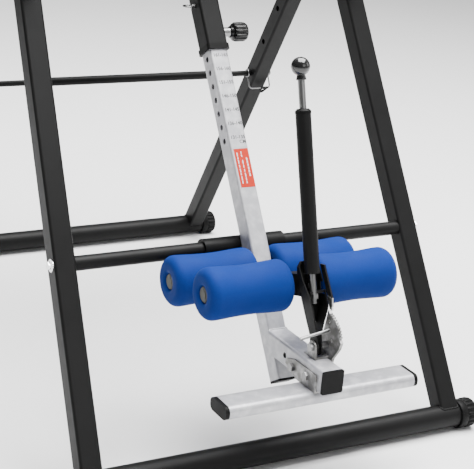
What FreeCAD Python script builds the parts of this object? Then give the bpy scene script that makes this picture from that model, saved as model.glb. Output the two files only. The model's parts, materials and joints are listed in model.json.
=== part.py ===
"""Inversion table: a folding A-frame, a tilting bed on a sliding boom, and a ratchet ankle clamp.

Frame: +X to the user's right when facing the table, +Y towards the rear feet, +Z up. The origin
is on the floor, in the middle of the footprint. The bed rests on its front stop.
"""
import FreeCAD
import Part
import math
import os

doc = FreeCAD.newDocument("inversion_table")
Vector = FreeCAD.Vector
AXIS_X = Vector(1, 0, 0)


# ---------------------------------------------------------------- dimensions
class Size(float):
    """A number that remembers the spreadsheet formula it comes from."""

    def __new__(cls, value, formula):
        size = float.__new__(cls, value)
        size.formula = formula
        return size

    def __add__(self, other):
        return Size(float(self) + float(other), f"({self.formula} + {formula_of(other)})")

    def __sub__(self, other):
        return Size(float(self) - float(other), f"({self.formula} - {formula_of(other)})")

    def __mul__(self, other):
        return Size(float(self) * float(other), f"({self.formula} * {formula_of(other)})")

    def __truediv__(self, other):
        return Size(float(self) / float(other), f"({self.formula} / {formula_of(other)})")

    __radd__ = __add__
    __rmul__ = __mul__


def formula_of(value):
    return value.formula if isinstance(value, Size) else repr(float(value))


sheet = doc.addObject("Spreadsheet::Sheet", "Sizes")


def size(alias, value):
    """Writes one driving dimension to the sheet and returns it with its formula."""
    row = size.next_row
    size.next_row += 1
    sheet.set(f"A{row}", alias)
    sheet.set(f"B{row}", str(value))
    sheet.setAlias(f"B{row}", alias)
    return Size(value, f"Sizes.{alias}")


size.next_row = 1

# A-frame
LEG_SIDE = size("leg_side", 38.0)
LEG_WALL = size("leg_wall", 1.8)
LEG_ROUND = size("leg_corner_radius", 5.0)
BASE_RADIUS = size("base_tube_radius", 22.0)
BASE_WALL = size("base_tube_wall", 2.0)
BASE_HEIGHT = size("base_axis_height", 27.0)
FRONT_Y = size("front_base_y", -508.6)
REAR_Y = size("rear_base_y", 616.3)
HINGE_Y = size("hinge_y", 22.5)
HINGE_Z = size("hinge_height", 932.3)
FRONT_HALF = size("front_leg_half_spread", 354.0)
REAR_OFFSET = size("rear_leg_offset", 42.0)
LEAN = size("leg_lean_slope", 0.0426)
LEG_OVERRUN = size("leg_past_hinge", 35.0)
CAP_RADIUS = size("foot_cap_radius", 27.6)
CAP_LENGTH = size("foot_cap_length", 37.0)
CROSSBAR_RADIUS = size("crossbar_radius", 12.7)
CROSSBAR_UP_LEG = size("crossbar_up_leg", 358.0)
CROSSBAR_FORWARD = size("crossbar_forward", 4.0)
STOP_RADIUS = size("stop_sleeve_radius", 18.0)
STOP_LENGTH = size("stop_sleeve_length", 158.0)
HINGE_PIN = size("hinge_pin_radius", 6.0)
ROD_RADIUS = size("limiter_rod_radius", 6.0)
ROD_SLEEVE = size("limiter_sleeve_radius", 9.0)
ROD_UP_LEG = size("limiter_up_leg", 547.0)
ROD_PITCH = size("limiter_hole_pitch", 98.5)
GRIP_RADIUS = size("handle_grip_radius", 17.0)
HANDLE_RADIUS = size("handle_tube_radius", 12.5)
# bed and boom
TILT = size("boom_tilt_from_vertical", 33.3)
PIVOT_RISE = size("pivot_above_hinge", 52.0)
PIVOT_PIN = size("pivot_pin_radius", 8.0)
HOUSING_SIDE = size("housing_side", 40.0)
HOUSING_WALL = size("housing_wall", 2.2)
HOUSING_LOW = size("housing_lower_end", 336.0)
HOUSING_HIGH = size("housing_upper_end", -680.0)
BOOM_SIDE = size("boom_side", 35.0)
BOOM_WALL = size("boom_wall", 1.8)
BOOM_HIGH = size("boom_upper_end", 56.0)
BOOM_LOW = size("boom_lower_end", 936.0)
HOLE_PITCH = size("boom_hole_pitch", 25.4)
HOLE_RADIUS = size("boom_hole_radius", 5.2)
FIRST_HOLE = size("first_bare_hole", 359.0)
ARM_X = size("pivot_arm_inner_x", 274.0)
ARM_THICK = size("pivot_arm_thickness", 6.0)
BED_HALF = size("bed_half_width", 205.0)
BED_TOP = size("bed_top_end", -650.0)
BED_BOTTOM = size("bed_bottom_end", 165.0)
# ankle clamp
FOOT_SIDE = size("foot_tube_side", 40.0)
FOOT_BOTTOM = size("foot_tube_bottom_z", 191.5)
FOOT_END = size("foot_tube_end_y", -639.9)
LEVER_Y = size("lever_pivot_y", -586.1)
LEVER_Z = size("lever_pivot_z", 250.6)
LEVER_TILT = size("lever_tilt_from_vertical", 16.0)
SECTOR_RADIUS = size("sector_radius", 47.5)
PLATE = size("clamp_plate_thickness", 3.0)
CHANNEL_HALF = size("channel_half_width", 19.3)
LEVER_RADIUS = size("lever_tube_radius", 12.7)
ROLLER_RADIUS = size("roller_radius", 42.0)
ROLLER_END = size("roller_outer_x", 177.0)
FRONT_ROLLER_IN = size("front_roller_inner_x", 25.5)
REAR_ROLLER_IN = size("rear_roller_inner_x", 20.5)
CORE_RADIUS = size("roller_core_radius", 13.5)
AXLE_RADIUS = size("roller_axle_radius", 8.0)
REAR_AXLE_S = size("rear_axle_down_boom", 746.0)
BAR_HALF = size("footrest_half_length", 175.5)
BAR_WIDTH = size("footrest_width", 54.0)
BAR_THICK = size("footrest_thickness", 23.0)
doc.recompute()

CLEAR = 0.06        # radial clearance of a running fit
GAP = 0.3           # space between faces that rest on each other across a joint


# ---------------------------------------------------------------- placing
def at(origin, x_axis=AXIS_X, z_axis=Vector(0, 0, 1)):
    """A placement at origin with that X axis, and its Z axis as near z_axis as it can be."""
    x_axis = Vector(x_axis).normalize()
    y_axis = Vector(z_axis).cross(x_axis).normalize()
    z_axis = x_axis.cross(y_axis)
    turn = FreeCAD.Rotation(x_axis, y_axis, z_axis, "XYZ")
    return FreeCAD.Placement(origin, turn)


def along(origin, z_axis):
    """A placement at origin whose Z axis is z_axis."""
    return FreeCAD.Placement(origin, FreeCAD.Rotation(Vector(0, 0, 1), z_axis))


def shift(placement, x=0.0, y=0.0, z=0.0):
    """The placement moved along its own axes."""
    return placement * FreeCAD.Placement(Vector(x, y, z), FreeCAD.Rotation())


# ---------------------------------------------------------------- solids
def bind(thing, **sizes):
    for name, value in sizes.items():
        if isinstance(value, Size):
            thing.setExpression(name, value.formula)
        else:
            setattr(thing, name, value)


def box(x_size, y_size, z_size, placement):
    """A box centred in X and Y on the placement, rising along its Z."""
    solid = doc.addObject("Part::Box", "box")
    bind(solid, Length=x_size, Width=y_size, Height=z_size)
    solid.Placement = shift(placement, -x_size / 2, -y_size / 2)
    return solid


def rod(radius, length, placement):
    """A cylinder that starts at the placement and runs along its Z."""
    solid = doc.addObject("Part::Cylinder", "rod")
    bind(solid, Radius=radius, Height=length)
    solid.Placement = placement
    return solid


def bar(radius, x_from, x_to, y, z):
    """A cylinder parallel to X between two X values."""
    return rod(radius, x_to - x_from, along(Vector(x_from, y, z), AXIS_X))


def cut(base, *tools):
    tool = tools[0] if len(tools) == 1 else fuse(*tools)
    result = doc.addObject("Part::Cut", "cut")
    result.Base, result.Tool = base, tool
    return result


def fuse(*solids):
    result = doc.addObject("Part::MultiFuse", "fuse")
    result.Shapes = list(solids)
    return result


def group(*solids):
    """Several separate solids kept in one node."""
    result = doc.addObject("Part::Compound", "group")
    result.Links = list(solids)
    return result


def fillet(base, radius, chosen):
    """Rounds the edges for which chosen(edge) is true."""
    doc.recompute()
    edges = [(n + 1, radius, radius) for n, edge in enumerate(base.Shape.Edges) if chosen(edge)]
    result = doc.addObject("Part::Fillet", "fillet")
    result.Base, result.Edges = base, edges
    return result


def parallel_to(direction):
    """Chooses the straight edges that run along a direction."""
    direction = Vector(direction).normalize()

    def chosen(edge):
        if edge.Curve.TypeId != "Part::GeomLine":
            return False
        return abs(edge.tangentAt(edge.FirstParameter).dot(direction)) > 0.999

    return chosen


def square_tube(side, wall, length, placement, corner):
    """A hollow square tube with rounded corners, open at both ends."""
    axis = placement.Rotation.multVec(Vector(0, 0, 1))
    outer = fillet(box(side, side, length, placement), float(corner), parallel_to(axis))
    bore = box(side - wall * 2, side - wall * 2, length + 2, shift(placement, z=-1))
    inner = fillet(bore, float(corner) - float(wall), parallel_to(axis))
    return cut(outer, inner)


def round_tube(radius, wall, x_from, x_to, y, z):
    return cut(bar(radius, x_from, x_to, y, z), bar(radius - wall, x_from - 1, x_to + 1, y, z))


def feature(shape):
    """A node whose shape is made by Part's own functions."""
    result = doc.addObject("Part::Feature", "shape")
    result.Shape = shape
    return result


def pipe(points, bend, radius, closed=False):
    """A round wire or tube that follows straight runs joined by arcs of the bend radius."""
    path = rounded_path(points, bend, closed)
    start = path.Edges[0]
    tangent = start.tangentAt(start.FirstParameter)
    profile = Part.Wire(Part.makeCircle(radius, start.valueAt(start.FirstParameter), tangent))
    return path.makePipeShell([profile], True, False)


def rounded_path(points, bend, closed):
    edges = []
    last = points[0]
    inner = points[1:-1] if not closed else points[1:]
    for n, corner in enumerate(inner, start=1):
        before, after = points[n - 1], points[(n + 1) % len(points)]
        back = (before - corner).normalize()
        on = (after - corner).normalize()
        half = back.getAngle(on) / 2
        reach = bend / math.tan(half)
        middle = (back + on).normalize() * (bend / math.sin(half) - bend)
        arc = Part.Arc(corner + back * reach, corner + middle, corner + on * reach)
        edges.append(Part.LineSegment(last, corner + back * reach).toShape())
        edges.append(arc.toShape())
        last = corner + on * reach
    edges.append(Part.LineSegment(last, points[0] if closed else points[-1]).toShape())
    return Part.Wire(edges)


# ---------------------------------------------------------------- sketched bodies
def plane_of(body, role):
    return next(f for f in body.Origin.OriginFeatures if f.Role == role)


def sketch_on(body, role):
    sketch = body.newObject("Sketcher::SketchObject", "Profile")
    sketch.AttachmentSupport = (plane_of(body, role), [""])
    sketch.MapMode = "FlatFace"
    return sketch


def outline(sketch, points):
    """A closed outline of straight lines through points, each a pair of numbers."""
    for n, start in enumerate(points):
        end = points[(n + 1) % len(points)]
        sketch.addGeometry(Part.LineSegment(Vector(*start, 0), Vector(*end, 0)), False)


def revolved(profile, placement):
    """A body of revolution about its own Z axis. The profile is (radius, height) pairs."""
    body = doc.addObject("PartDesign::Body", "Turned")
    sketch = sketch_on(body, "XZ_Plane")
    outline(sketch, profile)
    turned = body.newObject("PartDesign::Revolution", "Turn")
    turned.Profile = sketch
    turned.ReferenceAxis = (sketch, ["V_Axis"])
    turned.Angle = 360.0
    body.Placement = placement
    return body


def padded(points, thickness, placement):
    """A flat plate: an outline in its own XY plane, raised along Z."""
    body = doc.addObject("PartDesign::Body", "Plate")
    sketch = sketch_on(body, "XY_Plane")
    outline(sketch, points)
    raised = body.newObject("PartDesign::Pad", "Raise")
    raised.Profile = sketch
    bind(raised, Length=thickness)
    body.Placement = placement
    return body


nodes = {}


def node(name, thing):
    thing.Label = name
    nodes[name] = thing
    return thing


# ---------------------------------------------------------------- reference lines
LEG_RISE = HINGE_Z - BASE_HEIGHT
HINGE = Vector(0, HINGE_Y, HINGE_Z)
PIVOT = Vector(0, HINGE_Y, HINGE_Z + PIVOT_RISE)


def leg_axis(side, front):
    """Foot point, direction and length to the hinge of one leg's centreline."""
    spread = FRONT_HALF if front else FRONT_HALF + REAR_OFFSET
    foot = Vector(side * spread, FRONT_Y if front else REAR_Y, BASE_HEIGHT)
    top = Vector(side * (spread - LEAN * LEG_RISE), HINGE_Y, HINGE_Z)
    return foot, (top - foot).normalize(), (top - foot).Length


def on_leg(side, front, up, out=0.0, forward=0.0):
    """A point a distance up a leg, then towards the outside and square to the leg to the front."""
    foot, direction, _ = leg_axis(side, front)
    across = leg_across(side, front)
    ahead = direction.cross(AXIS_X).normalize()
    if ahead.y > 0:
        ahead = ahead * -1
    return foot + direction * float(up) + across * out + ahead * forward


def leg_across(side, front):
    """The direction square to the leg's outer side face."""
    _, direction, _ = leg_axis(side, front)
    flat = Vector(side, 0, 0)
    return (flat - direction * flat.dot(direction)).normalize()


tilt = math.radians(TILT)
DOWN = Vector(0, -math.sin(tilt), -math.cos(tilt))
FACE = Vector(0, -math.cos(tilt), math.sin(tilt))
CROSSBAR = on_leg(1, True, CROSSBAR_UP_LEG, 0, float(CROSSBAR_FORWARD))
STOP_REACH = BOOM_SIDE / 2 + STOP_RADIUS + GAP
boom_point = Vector(0, CROSSBAR.y, CROSSBAR.z) + FACE * float(STOP_REACH)
BOOM_ZERO = boom_point + DOWN * ((float(HINGE_Z) + 2.0 - boom_point.z) / DOWN.z)


def on_boom(s, n=0.0, x=0.0):
    """A point s down the boom's centreline, n out of its upper face, at x across it."""
    return BOOM_ZERO + DOWN * float(s) + FACE * float(n) + Vector(x, 0, 0)


def boom_frame(s, n=0.0, x=0.0):
    """Z runs down the boom, X across it and Y out of its under face."""
    return at(on_boom(s, n, x), AXIS_X, DOWN)


def face_frame(s, n, x=0.0):
    """Z stands out of the boom's upper face, X runs across the boom."""
    return at(on_boom(s, n, x), AXIS_X, FACE)


# ---------------------------------------------------------------- A-frame
def leg(side, front, holes):
    foot, direction, reach = leg_axis(side, front)
    placement = at(foot, leg_across(side, front) * side, direction)
    tube = square_tube(LEG_SIDE, LEG_WALL, reach + LEG_OVERRUN, placement, LEG_ROUND)
    base_y = FRONT_Y if front else REAR_Y
    spread = foot.x
    tools = [bar(BASE_RADIUS, spread - 40, spread + 40, base_y, BASE_HEIGHT)]
    for radius, y, z in holes:
        tools.append(bar(radius, spread - side * 30 - 60, spread - side * 30 + 60, y, z))
    return cut(tube, *tools)


def leg_plug(side, front):
    """A plastic plug in the open top of a leg."""
    _, direction, reach = leg_axis(side, front)
    top = on_leg(side, front, reach + float(LEG_OVERRUN))
    placement = at(top, leg_across(side, front) * side, direction)
    flange = box(LEG_SIDE - 1, LEG_SIDE - 1, 2.5, placement)
    stem = box(LEG_SIDE - LEG_WALL * 2 - 3, LEG_SIDE - LEG_WALL * 2 - 3, 12, shift(placement, z=-12))
    return fuse(flange, stem)


def foot_cap(side, start_x, y, nub):
    """A stepped cap over a base tube's end, with a small flat where it stands on the floor."""
    outer, bore, length = float(CAP_RADIUS), float(BASE_RADIUS) + 0.05, float(CAP_LENGTH)
    profile = [(bore, 0), (outer - 2, 0), (outer - 1, 3), (outer, 6), (outer, length - 5)]
    profile += [(outer - 2, length - 2), (outer - 6, length)]
    profile += [(5, length), (5, length + nub)] if nub else []
    profile += [(0, length + nub), (0, length - 8), (bore, length - 8)]
    turned = revolved(profile, along(Vector(side * start_x, y, BASE_HEIGHT), Vector(side, 0, 0)))
    return cut(turned, box(200, 60, 10, at(Vector(side * start_x, y, -10))))


def base(y, half, nub):
    """A base tube and its two caps. half is the middle of the leg that stands on it."""
    cap_start = half + float(LEG_SIDE) / 2 + 0.3
    tube_end = cap_start + float(CAP_LENGTH) - 9
    tube = round_tube(BASE_RADIUS, BASE_WALL, -tube_end, tube_end, y, BASE_HEIGHT)
    caps = group(foot_cap(-1, cap_start, y, nub), foot_cap(1, cap_start, y, nub))
    return tube, caps


SIDES = (("left", -1), ("right", 1))
ROD_AT = [on_leg(1, False, float(ROD_UP_LEG) + n * float(ROD_PITCH)) for n in range(3)]
front_holes = [(HINGE_PIN + CLEAR, HINGE.y, HINGE.z)]
rear_holes = front_holes + [(ROD_RADIUS + CLEAR, p.y, p.z) for p in ROD_AT]

front_tube, front_caps = base(FRONT_Y, FRONT_HALF, 12.0)
rear_tube, rear_caps = base(REAR_Y, FRONT_HALF + REAR_OFFSET, 0.0)
node("front_base_tube", front_tube)
node("front_base_caps", front_caps)
node("rear_base_tube", rear_tube)
node("rear_base_caps", rear_caps)
for word, side in SIDES:
    node(f"rear_leg_{word}", leg(side, False, rear_holes))
node("front_leg_plugs", group(*[leg_plug(side, True) for _, side in SIDES]))
node("rear_leg_plugs", group(*[leg_plug(side, False) for _, side in SIDES]))


# ---- front crossbar, its fixings and the bumper sleeve that the boom rests on
def crossbar_bolt_frame(side):
    """On the outer face of a front leg, pointing in along the face's normal."""
    across = leg_across(side, True)
    return along(CROSSBAR_ENDS[side] + across * (float(LEG_SIDE) / 2), across * -1)


CROSSBAR_ENDS = {side: on_leg(side, True, CROSSBAR_UP_LEG, 0, float(CROSSBAR_FORWARD))
                 for _, side in SIDES}
inner_x = CROSSBAR_ENDS[1].x


def leg_block(side):
    """The solid outline of a front leg and its plug, for trimming what meets it."""
    foot, direction, reach = leg_axis(side, True)
    placement = at(foot, leg_across(side, True) * side, direction)
    return box(LEG_SIDE, LEG_SIDE, reach + LEG_OVERRUN + 3, placement)


bar_blank = round_tube(CROSSBAR_RADIUS, 1.5, -inner_x, inner_x, CROSSBAR.y, CROSSBAR.z)
node("front_crossbar", cut(bar_blank, leg_block(-1), leg_block(1)))
node("crossbar_sleeve", round_tube(STOP_RADIUS, STOP_RADIUS - CROSSBAR_RADIUS - 0.05,
                                   -6 - STOP_LENGTH / 2, -6 + STOP_LENGTH / 2, CROSSBAR.y, CROSSBAR.z))


def hex_prism(across_flats, height, placement):
    corner = across_flats / math.sqrt(3)
    points = [(corner * math.cos(a), corner * math.sin(a)) for a in [n * math.pi / 3 for n in range(6)]]
    return padded(points, height, placement)


def crossbar_bolt(side):
    frame = crossbar_bolt_frame(side)
    washer = rod(11.0, 1.5, shift(frame, z=-1.5))
    head = hex_prism(13.0, 5.5, shift(frame, z=-7.0))
    shank = rod(4.0, 55, shift(frame, z=-2))
    return fuse(washer, head, shank)


for word, side in SIDES:
    blank = leg(side, True, front_holes)
    node(f"front_leg_{word}", cut(blank, rod(4.05, 60, shift(crossbar_bolt_frame(side), z=-5))))
node("crossbar_bolts", group(*[crossbar_bolt(side) for _, side in SIDES]))


# ---- apex: brackets that carry the bed's pivot, and the fold hinge
BRACKET_IN = float(ARM_X + ARM_THICK) + 6
BRACKET_OUT = 302.0


def pivot_bracket(side):
    """A thick plate on the inside of a front leg with the bed's bearing bore at its top."""
    low = on_leg(side, True, leg_axis(side, True)[2] - 75)
    centre = Vector(side * BRACKET_IN, 0, 0)
    turn = along(Vector(), Vector(side, 0, 0))
    thick = BRACKET_OUT - BRACKET_IN

    def disc(radius, y, z, start=0.0, length=thick):
        return rod(radius, length, FreeCAD.Placement(centre + Vector(side * start, y, z), turn.Rotation))

    def web(y0, z0, y1, z1, width):
        run = Vector(0, y1 - y0, z1 - z0)
        origin = Vector(side * (BRACKET_IN + thick / 2), y0, z0)
        return box(thick, width, run.Length, at(origin, AXIS_X, run))

    body = fuse(web(low.y, low.z, HINGE.y, HINGE.z, 38), disc(19, low.y, low.z),
                disc(22, HINGE.y, HINGE.z), web(HINGE.y, HINGE.z, PIVOT.y, PIVOT.z, 40),
                disc(20, PIVOT.y, PIVOT.z))
    bores = [disc(PIVOT_PIN + CLEAR, PIVOT.y, PIVOT.z, -1, thick + 2),
             disc(HINGE_PIN + CLEAR, HINGE.y, HINGE.z, -1, thick + 2)]
    return cut(body, leg_block(side), *bores)


def hinge_bolt(side):
    """The bolt that the rear leg folds on, with its nut inside the bracket."""
    inner, outer = BRACKET_IN, 380.0
    start, end = sorted((side * (inner - 3), side * outer))
    shaft = bar(HINGE_PIN, start, end, HINGE.y, HINGE.z)
    head = hex_prism(19.0, 7.0, along(Vector(side * outer, HINGE.y, HINGE.z), Vector(side, 0, 0)))
    nut = hex_prism(19.0, 4.0, along(Vector(side * inner, HINGE.y, HINGE.z), Vector(-side, 0, 0)))
    return fuse(shaft, head, nut)


def hinge_washer(side, x):
    start, end = sorted((side * x, side * (x + 2.0)))
    washer = bar(14.0, start, end, HINGE.y, HINGE.z)
    return cut(washer, bar(HINGE_PIN + CLEAR, start - 1, end + 1, HINGE.y, HINGE.z))


hinge_x = float(FRONT_HALF - LEAN * LEG_RISE)
washer_x = hinge_x + float(LEG_SIDE) / 2 + 1.0
node("pivot_brackets", group(*[pivot_bracket(side) for _, side in SIDES]))
node("frame_hinge_bolts", group(*[hinge_bolt(side) for _, side in SIDES],
                                *[hinge_washer(side, washer_x) for _, side in SIDES]))


# ---- side handles: a D of tube on the front face of each front leg
def handle_points(side):
    leg_face = float(LEG_SIDE) / 2
    low, high, out = 840.0, 1010.0, 150.0
    return [on_leg(side, True, low, 0, leg_face), on_leg(side, True, low, 0, out),
            on_leg(side, True, high, 0, out), on_leg(side, True, high, 0, leg_face)]


def handlebar(side):
    return feature(pipe(handle_points(side), 40.0, float(HANDLE_RADIUS)))


def handle_grip(side):
    """A foam sleeve on the outer straight of the handle."""
    points = handle_points(side)
    run = (points[2] - points[1]).normalize()
    start = points[1] + run * 42
    length = (points[2] - points[1]).Length - 84
    sleeve = rod(GRIP_RADIUS, length, along(start, run))
    return cut(sleeve, rod(HANDLE_RADIUS + 0.05, length + 2, along(start - run, run)))


node("handlebars", group(*[handlebar(side) for _, side in SIDES]))
node("handlebar_grips", group(*[handle_grip(side) for _, side in SIDES]))

# ---------------------------------------------------------------- tilt limiter
ROD = ROD_AT[0]
rod_end = ROD.x + 31.0
sleeve_from, sleeve_to = -145.0, 280.0
node("limiter_rod", bar(ROD_RADIUS, -rod_end, rod_end, ROD.y, ROD.z))
node("limiter_sleeve", round_tube(ROD_SLEEVE, ROD_SLEEVE - ROD_RADIUS - 0.05,
                                  sleeve_from, sleeve_to, ROD.y, ROD.z))


CLIP_DROOP = math.radians(29.0)


def limiter_clip():
    """A wire that hooks both sides of the right rear leg and keeps the rod from sliding out."""
    leg_out = on_leg(1, False, ROD_UP_LEG, 21).x
    leg_in = on_leg(1, False, ROD_UP_LEG, -21).x
    up_leg = leg_axis(1, False)[1]
    normal = up_leg.cross(AXIS_X).normalize()
    ahead = normal if normal.y < 0 else normal * -1
    reach = ahead * math.cos(CLIP_DROOP) - ahead.cross(AXIS_X) * math.sin(CLIP_DROOP)
    inner = Vector(leg_in - 5, ROD.y, ROD.z)
    outer = Vector(leg_out + 5, ROD.y, ROD.z)
    start, end = inner + reach * 8.0, outer + reach * 8.0
    wire = pipe([start, inner + reach * 35, outer + reach * 35, end], 7.0, 1.5)
    eyes = [Part.makeTorus(8.0, 1.5, centre, AXIS_X) for centre in (inner, outer)]
    return wire.fuse(eyes), outer + reach * 35, ahead


clip_shape, clip_corner, clip_ahead = limiter_clip()
clip_wire = node("limiter_clip", feature(clip_shape))
tab_frame = at(clip_corner - clip_ahead * 1.6, AXIS_X, clip_ahead)
tab_outer = padded([(-3, 2.5), (-24, 2.5), (-25, -6), (-19, -14), (-15, -14)], 3.2, tab_frame)
tab_window = padded([(-10, -2.5), (-20, -2.5), (-20, -6), (-17, -10)], 5.0, shift(tab_frame, z=-1))
node("limiter_clip_tab", cut(tab_outer, tab_window, clip_wire))

# ---------------------------------------------------------------- bed
housing = square_tube(HOUSING_SIDE, HOUSING_WALL, HOUSING_LOW - HOUSING_HIGH,
                      boom_frame(HOUSING_HIGH), Size(5.0, "5.0"))
POP_S = float(FIRST_HOLE) - 2 * float(HOLE_PITCH)
SAFETY_S = POP_S - 2 * float(HOLE_PITCH)


def cross_hole(radius, s, x_from, x_to):
    """A hole across the boom, parallel to X."""
    centre = on_boom(s)
    return bar(radius, x_from, x_to, centre.y, centre.z)


node("shaft_housing", cut(housing, cross_hole(6.06, POP_S, 10, 30), cross_hole(4.06, SAFETY_S, -30, -10)))


def housing_collar():
    """A flared plastic bush at the mouth of the housing."""
    length, reach = 10.0, float(HOUSING_LOW)
    flange = fillet(box(44, 44, length, boom_frame(reach)), 6.0, parallel_to(DOWN))
    return cut(flange, box(BOOM_SIDE + 0.5, BOOM_SIDE + 0.5, length + 2, boom_frame(reach - 1)))


def plug(side, wall, frame, outward):
    """A plastic plug for a square tube's end. outward is 1 where frame's Z leaves the tube."""
    cover = box(side - 0.4, side - 0.4, 4.0, shift(frame, z=0 if outward > 0 else -4.0))
    inside = side - wall * 2 - 0.4
    stem = box(inside, inside, 14.0, shift(frame, z=-14.0 if outward > 0 else 0))
    return fuse(fillet(cover, 3.0, parallel_to(frame.Rotation.multVec(Vector(0, 0, 1)))),
                fillet(stem, 2.5, parallel_to(frame.Rotation.multVec(Vector(0, 0, 1)))))


housing_plug = plug(HOUSING_SIDE, HOUSING_WALL, boom_frame(HOUSING_HIGH), -1)
node("housing_end_bushes", group(housing_collar(), housing_plug))

TUBE_N = float(HOUSING_SIDE) / 2 + float(LEG_SIDE) / 2
CROSS_LOW_S, CROSS_HIGH_S = 25.0, -430.0


BOLT_X = (-120.0, 120.0)


def bolt_holes(s, start, length):
    """The holes for the two bolts of one cross tube, square to the bed."""
    return [rod(4.0, length, face_frame(s, start, x)) for x in BOLT_X]


def cross_tube(s, half):
    """A square tube across the top of the housing, which the backrest is bolted to."""
    origin = on_boom(s, TUBE_N, -half)
    tube = square_tube(LEG_SIDE, LEG_WALL, half * 2, at(origin, DOWN, AXIS_X), LEG_ROUND)
    return cut(tube, *bolt_holes(s, float(HOUSING_SIDE) / 2 - 2, float(LEG_SIDE) + 4))


node("bed_cross_tube_lower", cross_tube(CROSS_LOW_S, float(ARM_X)))
node("bed_cross_tube_upper", cross_tube(CROSS_HIGH_S, 180.0))


def pivot_arm(side):
    """A plate at the end of the lower cross tube that hangs the bed on its pivot pin."""
    x_from = side * float(ARM_X)
    tube_at = on_boom(CROSS_LOW_S, TUBE_N, x_from)
    pin_at = Vector(x_from, PIVOT.y, PIVOT.z)
    turn = along(Vector(), Vector(side, 0, 0)).Rotation
    run = pin_at - tube_at
    middle = Vector(side * float(ARM_THICK) / 2, 0, 0)
    return fuse(box(ARM_THICK, 44, run.Length, at(tube_at + middle, AXIS_X, run)),
                rod(24.0, ARM_THICK, FreeCAD.Placement(pin_at, turn)),
                box(46, 46, ARM_THICK, at(tube_at, DOWN, Vector(side, 0, 0))))


def pivot_pin(side):
    """A stub shaft welded in the arm, turning in the A-frame's bracket."""
    start = side * (float(ARM_X) + 0.2)
    end = side * (BRACKET_OUT - 9)
    low, high = sorted((start, end))
    return bar(PIVOT_PIN, low, high, PIVOT.y, PIVOT.z)


pin_bores = [bar(PIVOT_PIN, side * ARM_X - 20, side * ARM_X + 20, PIVOT.y, PIVOT.z) for _, side in SIDES]
arms = [cut(pivot_arm(side), bore) for (_, side), bore in zip(SIDES, pin_bores)]
node("pivot_arms", group(*arms, *[pivot_pin(side) for _, side in SIDES]))

BOARD_N = TUBE_N + float(LEG_SIDE) / 2
BOARD_THICK, PAD_THICK = 12.0, 38.0
bed_middle = float(BED_TOP + BED_BOTTOM) / 2
bed_length = BED_BOTTOM - BED_TOP


def slab(width, length, height, s, n, corner):
    """A flat slab on the bed with rounded corners, rising from height n over the boom."""
    blank = box(width, length, height, face_frame(s, n))
    return fillet(blank, corner, parallel_to(FACE))


BOLT_INTO_BOARD = 7.0
blank = slab(BED_HALF * 2, bed_length, BOARD_THICK, bed_middle, BOARD_N, 60.0)
board_holes = [hole for s in (CROSS_LOW_S, CROSS_HIGH_S)
               for hole in bolt_holes(s, float(BOARD_N) - 1, BOLT_INTO_BOARD + 1)]
node("backrest_board", cut(blank, *board_holes))
PAD_N = BOARD_N + BOARD_THICK
node("backrest_pad", slab(BED_HALF * 2 - 4, bed_length - 4, PAD_THICK, bed_middle, PAD_N, 58.0))
pillow_s = float(BED_TOP) + 100
node("head_pillow", slab(250, 120, 42, pillow_s, PAD_N + PAD_THICK + 0.3, 25.0))


def backrest_bolt(s, x):
    """A bolt up through a cross tube into the board."""
    under = TUBE_N - float(LEG_SIDE) / 2
    head = hex_prism(13.0, 5.0, face_frame(s, under - 5.0, x))
    return fuse(head, rod(4.0, float(LEG_SIDE) + 1 + BOLT_INTO_BOARD, face_frame(s, under - 1.0, x)))


bolt_places = [(s, x) for s in (CROSS_LOW_S, CROSS_HIGH_S) for x in BOLT_X]
node("backrest_bolts", group(*[backrest_bolt(s, x) for s, x in bolt_places]))


# ---- pull pin on the right of the housing, and the wire safety pin on the left
pop_at = on_boom(POP_S, 0, float(HOUSING_SIDE) / 2)
pop_axis = along(pop_at, AXIS_X)
WALL_IN = -float(HOUSING_WALL) - 0.05
node("pull_pin_boss", revolved([(6.2, 0), (10, 0), (10, 4), (8.5, 5), (8.5, 17), (6.2, 17)], pop_axis))
PIN_PROFILE = [(0, WALL_IN), (6, WALL_IN), (6, 8), (4, 8), (4, 49), (0, 49)]
node("pull_pin", revolved(PIN_PROFILE, pop_axis))
KNOB_PROFILE = [(4.05, 18), (14, 18), (17.5, 21), (17.5, 47), (15, 51)]
KNOB_PROFILE += [(8, 53), (0, 53), (0, 49.1), (4.05, 49.1)]
node("pull_pin_knob", revolved(KNOB_PROFILE, pop_axis))
safety_at = on_boom(SAFETY_S, 0, -float(HOUSING_SIDE) / 2)
safety_axis = along(safety_at, AXIS_X * -1)
SAFETY_PROFILE = [(0, WALL_IN), (4, WALL_IN), (4, 7.0), (3, 8.0), (0, 8.0)]
ring_at = safety_at - Vector(4.0, 0, 0)
ring_hole = rod(2.3, 12, along(ring_at - Vector(0, 6, 0), Vector(0, 1, 0)))
ring = feature(Part.makeTorus(9.0, 1.3, ring_at - Vector(9.0, 0, 0), Vector(0, 0, 1)))
node("safety_pin", group(cut(revolved(SAFETY_PROFILE, safety_axis), ring_hole), ring))

# ---------------------------------------------------------------- boom and foot end
boom_tube = square_tube(BOOM_SIDE, BOOM_WALL, BOOM_LOW - BOOM_HIGH, boom_frame(BOOM_HIGH), Size(4.0, "4.0"))
hole_row = [float(FIRST_HOLE) + n * float(HOLE_PITCH) for n in range(-8, 7)]
boom_tools = [cross_hole(HOLE_RADIUS, s, -25, 25) for s in hole_row]
axle_at = on_boom(REAR_AXLE_S)
boom_tools.append(bar(AXLE_RADIUS, -30, 30, axle_at.y, axle_at.z))
node("boom_tube", cut(boom_tube, *boom_tools))

foot_centre_z = float(FOOT_BOTTOM + FOOT_SIDE / 2)
FORWARD = Vector(0, -1, 0)
SADDLE_IN = float(FOOT_SIDE) / 2 + 0.05
bolt_points = [(-555.5, float(FOOT_BOTTOM) + 12), (-600.5, float(FOOT_BOTTOM) + 16)]


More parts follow.
